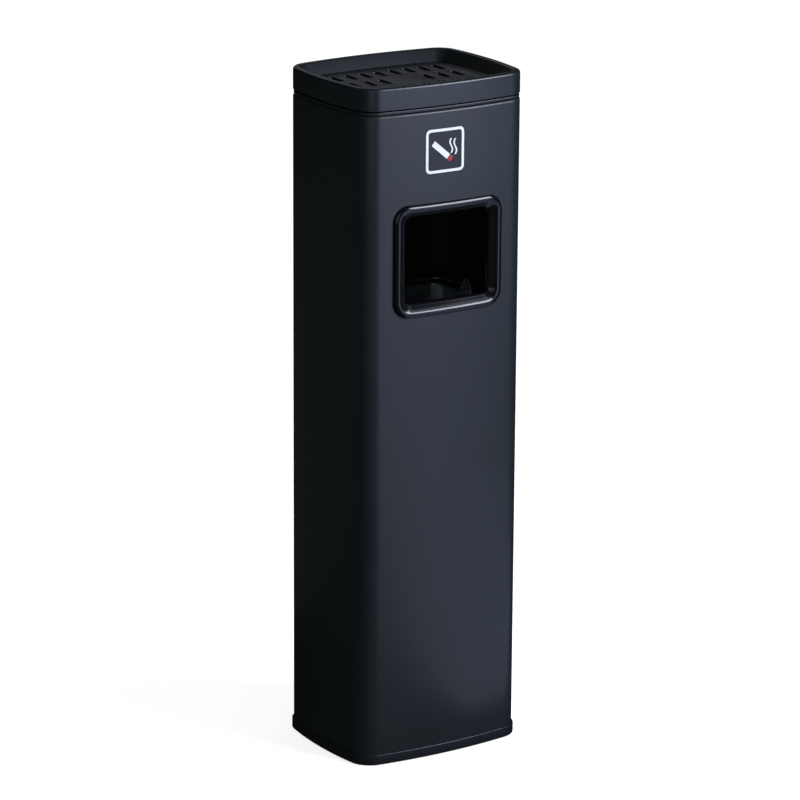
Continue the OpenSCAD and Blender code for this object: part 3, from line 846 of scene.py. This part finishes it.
def plate_tree():
    """Geometry nodes for the plate: a sheet with one slot at each point, every edge rolled down."""
    tree = bpy.data.node_groups.new("slotted plate", "GeometryNodeTree")
    face = tree.interface
    face.new_socket("Places", in_out="INPUT", socket_type="NodeSocketGeometry")
    for label in ("Slot", "Outline", "Slot Roll", "Edge Roll"):
        face.new_socket(label, in_out="INPUT", socket_type="NodeSocketObject")
    face.new_socket("Finish", in_out="INPUT", socket_type="NodeSocketMaterial")
    face.new_socket("Piece", in_out="OUTPUT", socket_type="NodeSocketGeometry")
    put, out = tree.nodes.new("NodeGroupInput"), tree.nodes.new("NodeGroupOutput")
    join = tree.links.new
    shape = {}
    for label in ("Slot", "Outline", "Slot Roll", "Edge Roll"):
        shape[label] = tree.nodes.new("GeometryNodeObjectInfo")
        join(put.outputs[label], shape[label].inputs["Object"])
    slots = tree.nodes.new("GeometryNodeInstanceOnPoints")
    join(put.outputs["Places"], slots.inputs["Points"])
    join(shape["Slot"].outputs["Geometry"], slots.inputs["Instance"])
    real_slots = tree.nodes.new("GeometryNodeRealizeInstances")
    join(slots.outputs["Instances"], real_slots.inputs["Geometry"])
    lines = tree.nodes.new("GeometryNodeJoinGeometry")
    join(real_slots.outputs["Geometry"], lines.inputs["Geometry"])
    join(shape["Outline"].outputs["Geometry"], lines.inputs["Geometry"])
    sheet_face = tree.nodes.new("GeometryNodeFillCurve")
    join(lines.outputs["Geometry"], sheet_face.inputs["Curve"])
    slot_roll = tree.nodes.new("GeometryNodeCurveToMesh")
    join(real_slots.outputs["Geometry"], slot_roll.inputs["Curve"])
    join(shape["Slot Roll"].outputs["Geometry"], slot_roll.inputs["Profile Curve"])
    edge_roll = tree.nodes.new("GeometryNodeCurveToMesh")
    join(shape["Outline"].outputs["Geometry"], edge_roll.inputs["Curve"])
    join(shape["Edge Roll"].outputs["Geometry"], edge_roll.inputs["Profile Curve"])
    skin = tree.nodes.new("GeometryNodeJoinGeometry")
    for part in (sheet_face, slot_roll, edge_roll):
        join(part.outputs["Mesh"], skin.inputs["Geometry"])
    real = tree.nodes.new("GeometryNodeRealizeInstances")
    finish = tree.nodes.new("GeometryNodeSetMaterial")
    join(skin.outputs["Geometry"], real.inputs["Geometry"])
    join(real.outputs["Geometry"], finish.inputs["Geometry"])
    join(put.outputs["Finish"], finish.inputs["Material"])
    join(finish.outputs["Geometry"], out.inputs["Piece"])
    return tree


def slot_outline():
    """The slot's outline at the top of its roll, which stands a little outside the punched slot."""
    w, l = slot_w + 2 * roll_r, slot_l + 2 * roll_r
    straight = (l - w) / 2
    return arc((0, straight), w / 2, 0, 180, 14) + arc((0, -straight), w / 2, 180, 360, 14)


def slot_places():
    """Three rows of eight; the middle two of the middle row are left plain, for a thumb."""
    grid = [(row, column - 3.5) for row in (-1, 0, 1) for column in range(8)]
    return [(c * pitch_x, r * pitch_y, 0) for r, c in grid if r != 0 or abs(c) > 1]


def stub_mesh():
    """Builds the plate's upper skin, gives it the sheet's thickness and lifts it into place."""
    slot_drop = ([Vector((0, 0))] + arc((0, -roll_r), roll_r, 90, 180, 6)[1:]
                 + [Vector((-roll_r, -slot_turn))])
    edge_drop = arc((0, -roll_r), roll_r, 90, 0, 6) + [Vector((roll_r, stub_low.z - stub_high.z))]
    helpers = {
        "Slot": line_object(slot_outline()),
        "Outline": line_object(case_plan(stub_inset + roll_r)),
        "Slot Roll": section_object(slot_drop, False),
        "Edge Roll": section_object(edge_drop, False)}
    points = bpy.data.meshes.new("slot places")
    points.from_pydata(slot_places(), [], [])
    mesh = run_tree(linked("slot places", points), plate_tree(), {**helpers, "Finish": well_coat})
    for h in helpers.values():
        bpy.data.objects.remove(h)
    bm = bmesh.new()
    bm.from_mesh(mesh)
    bmesh.ops.remove_doubles(bm, verts=bm.verts, dist=2e-6)
    bmesh.ops.recalc_face_normals(bm, faces=bm.faces)
    top = max(bm.faces, key=lambda f: f.calc_area())
    if top.normal.z < 0:
        bmesh.ops.reverse_faces(bm, faces=bm.faces)
    bmesh.ops.translate(bm, verts=bm.verts, vec=(0, 0, stub_high.z))
    bm.to_mesh(mesh)
    bm.free()
    return thickened(mesh, stub_t, well_coat, crease=45)


# The plate wears the same darker well coat, whose colour is painted shade.
put_piece("slotted_plate", stub_mesh(), "plate", "well_coat", "stub_plate")

# ---- Liner pail ----
# The liner is a pail of 0.8 mm zinc-dipped sheet. Its upper edge is curled out round a steel
# wire, and its floor is a flanged tray seamed into the foot of the wall.
liner_low, liner_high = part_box("liner_shell")
liner_w = liner_high.x - liner_low.x
liner_d = liner_high.y - liner_low.y
liner_r = 18.0 * MM
liner_t = 0.8 * MM
bead_r = 3.0 * MM
rim_z = liner_high.z
bead_z = rim_z - bead_r
galvanised = metal_material("zinc dip", (0.42, 0.44, 0.45), 0.42, spangle=0.75, scale=70.0)


def pail_section():
    """Wall and curled rim, as one closed outline of the sheet."""
    curl_end = -110
    wall_in = -2 * bead_r
    low = liner_low.z
    return ([Vector((wall_in, low))]
            + arc((-bead_r, bead_z), bead_r, 180, curl_end, 20)
            + arc((-bead_r, bead_z), bead_r - liner_t, curl_end, 180, 20)
            + [Vector((wall_in + liner_t, low))])


pail_path = rounded_rectangle(liner_w, liner_d, liner_r, 12)
pail_mesh = swept_mesh(pail_path, pail_section(), galvanised)
put_piece("liner_pail", pail_mesh, "liner", "zinc_sheet", "liner_shell")

wire_r = bead_r - liner_t - 0.2 * MM
wire_mesh = swept_mesh(pail_path, arc((-bead_r, bead_z), wire_r, 0, 345, 23), zinc_plate)
put_piece("liner_wire", wire_mesh, "liner", "zinc_wire", "liner_rim_wire")

liner_floor = eased_copy("liner_base", 0.2 * MM, galvanised)
put_piece("liner_floor", liner_floor, "liner", "zinc_sheet", "liner_base")

# ---- Bail ears and rivets ----
# Two zinc-plated ears stand inside the side walls, each held by two domed rivets whose ends are
# clenched outside. A hole above the rim takes the bail's end.
for side in ("left", "right"):
    ear = eased_copy("bail_ear_" + side, 0.25 * MM, galvanised)
    put_piece("ear_" + side, ear, "liner", "zinc_sheet", "bail_ear_" + side)

ear_t = 1.5 * MM
rivet_r = 2.0 * MM


def rivet_object():
    """A domed rivet about z: the head lies below the ear, the clenched end above the wall."""
    head_r, head_h = 3.4 * MM, 1.3 * MM
    clench_r, clench_h = 3.0 * MM, 1.0 * MM
    dome = [Vector((head_r * math.sin(a), -ear_t - head_h * math.cos(a)))
            for a in [math.radians(d) for d in range(0, 91, 15)]]
    clench = [Vector((clench_r * math.cos(a), liner_t + clench_h * math.sin(a)))
              for a in [math.radians(d) for d in range(0, 91, 18)]]
    mesh = turned_mesh(dome + [Vector((rivet_r, -ear_t)), Vector((rivet_r, liner_t))] + clench, 24)
    return linked("rivet", mesh)


def rivet_places():
    """Two to an ear, 14 mm below the rim; each axis points out through the wall."""
    face, y, z = liner_w / 2 - 2 * bead_r, 5 * MM, rim_z - 14 * MM
    spots = [(sx * face, sy * y, z) for sx in (-1, 1) for sy in (-1, 1)]
    return spots, [(1 if p[0] > 0 else -1, 0, 0) for p in spots]


rivet_spots, rivet_axes = rivet_places()
rivets = set_out(rivet_spots, rivet_axes, rivet_object(), zinc_plate, 7)
put_piece("rivet_set", rivets, "liner", "zinc_wire", "ear_rivets")

# ---- Bail ----
# The bail is one length of zinc-plated wire, bent to a loop. Its ends pass in through the ears
# and are upset to small heads, and at rest its bar lies on the pail's back rim.
bail_low, bail_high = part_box("liner_bail")
bail_r = 1.6 * MM
pivot_z = rim_z + 6 * MM
bail_x = bail_high.x - bail_r
bail_y = bail_high.y - bail_r
bar_z = bail_low.z + bail_r
head_len = 1.2 * MM


def bent(points, radii, steps=6):
    """A path through points whose inner corners are rounded to the radii."""
    path = [points[0]]
    for before, p, after, r in zip(points, points[1:], points[2:], radii):
        a, b = (before - p).normalized(), (after - p).normalized()
        reach = r / math.tan(a.angle(b) / 2)
        middle = p + (a + b).normalized() * math.hypot(reach, r)
        first, last = p + a * reach - middle, p + b * reach - middle
        path += [middle + first.lerp(last, k / steps).normalized() * r for k in range(steps + 1)]
    return path + [points[-1]]


def bail_mesh():
    """The wire's path from head to head, drawn with a round section."""
    inner = liner_w / 2 - 2 * bead_r - ear_t - 3.5 * MM
    pivot = Vector((0, 0, pivot_z))
    reach = Vector((0, bail_y, bar_z - pivot_z))
    corners = [pivot + Vector((-inner, 0, 0)), pivot + Vector((-bail_x, 0, 0)),
               pivot + Vector((-bail_x, 0, 0)) + reach, pivot + Vector((bail_x, 0, 0)) + reach,
               pivot + Vector((bail_x, 0, 0)), pivot + Vector((inner, 0, 0))]
    path = bent(corners, (2.2 * MM, 10 * MM, 10 * MM, 2.2 * MM))
    head = 1.56
    ends = ((-head_len, 0.75), (-head_len * 0.8, head), (-head_len * 0.15, head), (0, 1.0))
    start = [path[0] - Vector((d, 0, 0)) for d, _ in ends]
    finish = [path[-1] + Vector((d, 0, 0)) for d, _ in reversed(ends)]
    widths = [w for _, w in ends] + [1.0] * (len(path) - 2) + [w for _, w in reversed(ends)]
    ring = line_object(arc((0, 0), bail_r, 0, 345, 23))
    line = line_object(start + path[1:-1] + finish, False, widths)
    made = run_tree(line, SWEEP, {"Section": ring, "Closed Ends": True, "Finish": zinc_plate})
    bpy.data.objects.remove(ring)
    return tidy_mesh(made)


put_piece("bail_wire", bail_mesh(), "bail", "zinc_wire", "liner_bail")

# ---- Studio ----
# A pale plain floor that shows in no reflection. Soft panels light the front from the right, low
# ones stand for light off the floor, and weak ones fill in from the left and the back.
floor_size = 60.0
bpy.ops.mesh.primitive_plane_add(size=floor_size)
studio_floor = bpy.context.object
studio_floor.name = "studio_floor"
floor_paint, floor_shader = new_material("studio floor")
floor_shader.inputs["Base Color"].default_value = (0.86, 0.86, 0.86, 1)
floor_shader.inputs["Roughness"].default_value = 0.9
floor_shader.inputs["Emission Color"].default_value = (1, 1, 1, 1)
floor_shader.inputs["Emission Strength"].default_value = 0.75
studio_floor.data.materials.append(floor_paint)
studio_floor.visible_glossy = False
studio_floor.visible_diffuse = False

world = bpy.data.worlds.new("studio")
bpy.context.scene.world = world
world.use_nodes = True
world.node_tree.nodes["Background"].inputs["Color"].default_value = (0.95, 0.97, 1.0, 1)
world.node_tree.nodes["Background"].inputs["Strength"].default_value = 0.30
world.cycles_visibility.glossy = False


def soft_panel(name, place, aim, size, power, tint):
    """One rectangular light at a place, turned towards a point."""
    light = bpy.data.lights.new(name, "AREA")
    light.shape = "RECTANGLE"
    light.size, light.size_y = size
    light.energy = power
    light.color = tint
    made = linked(name, light)
    made.location = place
    made.rotation_mode = "QUATERNION"
    made.rotation_quaternion = (Vector(aim) - Vector(place)).to_track_quat("-Z", "Y")
    made.visible_camera = False


object_mid = Vector((0, 0, total_h / 2))
daylight = (0.78, 0.84, 1.0)
sky_blue = (0.62, 0.70, 1.0)
soft_panel("front right panel", (1.21, -1.66, 1.49), (0, 0, 0.45), (1.3, 0.9), 58, daylight)
soft_panel("upper front right", (1.15, -1.20, 2.00), (0, 0, 0.45), (1.0, 0.5), 2.4, daylight)
soft_panel("front right wall", (2.6, -5.8, 0.5), (0, 0, 0.5), (4.2, 1.0), 36, sky_blue)
soft_panel("front right bounce", (1.3, -3.6, 0.02), (1.3, -3.6, 1.0), (2.5, 4.8), 60, sky_blue)
soft_panel("near bounce", (0.3, -0.5, 0.02), (0.3, -0.5, 1.0), (0.5, 0.8), 0.9, sky_blue)
soft_panel("back glow", (0.8, 2.5, 1.95), (0, 0, 0.6), (1.8, 1.3), 2.6, (0.90, 0.95, 1.0))
soft_panel("left bounce", (-0.9, 1.3, 0.02), (-0.9, 1.3, 1.0), (2.0, 2.0), 0.4, (0.85, 1.0, 1.0))
soft_panel("left fill", (-1.6, -2.2, 0.9), object_mid, (1.2, 1.6), 4, (0.80, 0.97, 1.0))

camera_azimuth = math.radians(-32.45)
camera_elevation = math.radians(16.12)
camera_distance = 3.5910
camera_roll = math.radians(0.34)
aim_right, aim_up = -3.88 * MM, 5.33 * MM
back = Vector((math.sin(camera_azimuth) * math.cos(camera_elevation),
               -math.cos(camera_azimuth) * math.cos(camera_elevation), math.sin(camera_elevation)))
right = Vector((math.cos(camera_azimuth), math.sin(camera_azimuth), 0))
up = back.cross(right)
lens = bpy.data.cameras.new("camera")
lens.lens = 182.4
lens.sensor_width = 36.0
lens.clip_end = 200.0
camera = linked("camera", lens)
camera.location = object_mid + back * camera_distance + right * aim_right + up * aim_up
camera.rotation_mode = "QUATERNION"
camera.rotation_quaternion = (-back).to_track_quat("-Z", "Y")
camera.rotation_quaternion @= Quaternion((0, 0, 1), camera_roll)
bpy.context.scene.camera = camera
bpy.context.scene.view_settings.view_transform = "Standard"
